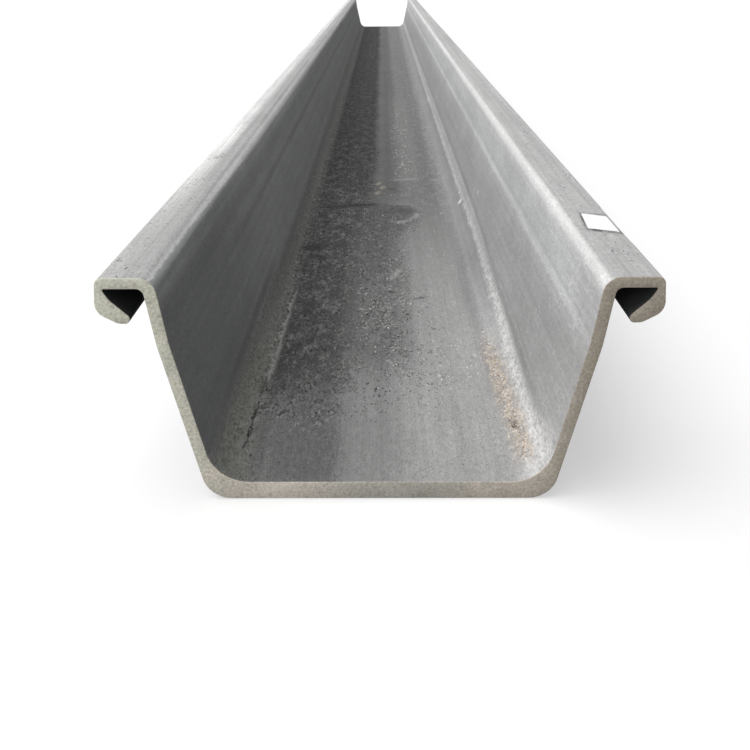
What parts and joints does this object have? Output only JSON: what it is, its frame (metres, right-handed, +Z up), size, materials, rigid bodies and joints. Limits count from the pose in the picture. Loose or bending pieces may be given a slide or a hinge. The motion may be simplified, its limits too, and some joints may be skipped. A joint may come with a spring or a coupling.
{
  "type": "steel sheet pile",
  "caption": "Hot-rolled U-section steel sheet pile with a flat pan, sloping bent webs and hooked interlock claws along its edges, for driven retaining walls.",
  "frame": {"origin": "middle of the pan's outer face, at half the length", "axes": "+Y along the length, +Z up out of the trough, +X across the section"},
  "size_m": [0.4382, 6, 0.1935],
  "materials": {
    "rolled_steel": "matt hot-rolled mill scale, mottled grey, with dust and light rust"
  },
  "bodies": {
    "root": {"sheet_pile": "rolled_steel"}
  },
  "joints": []
}
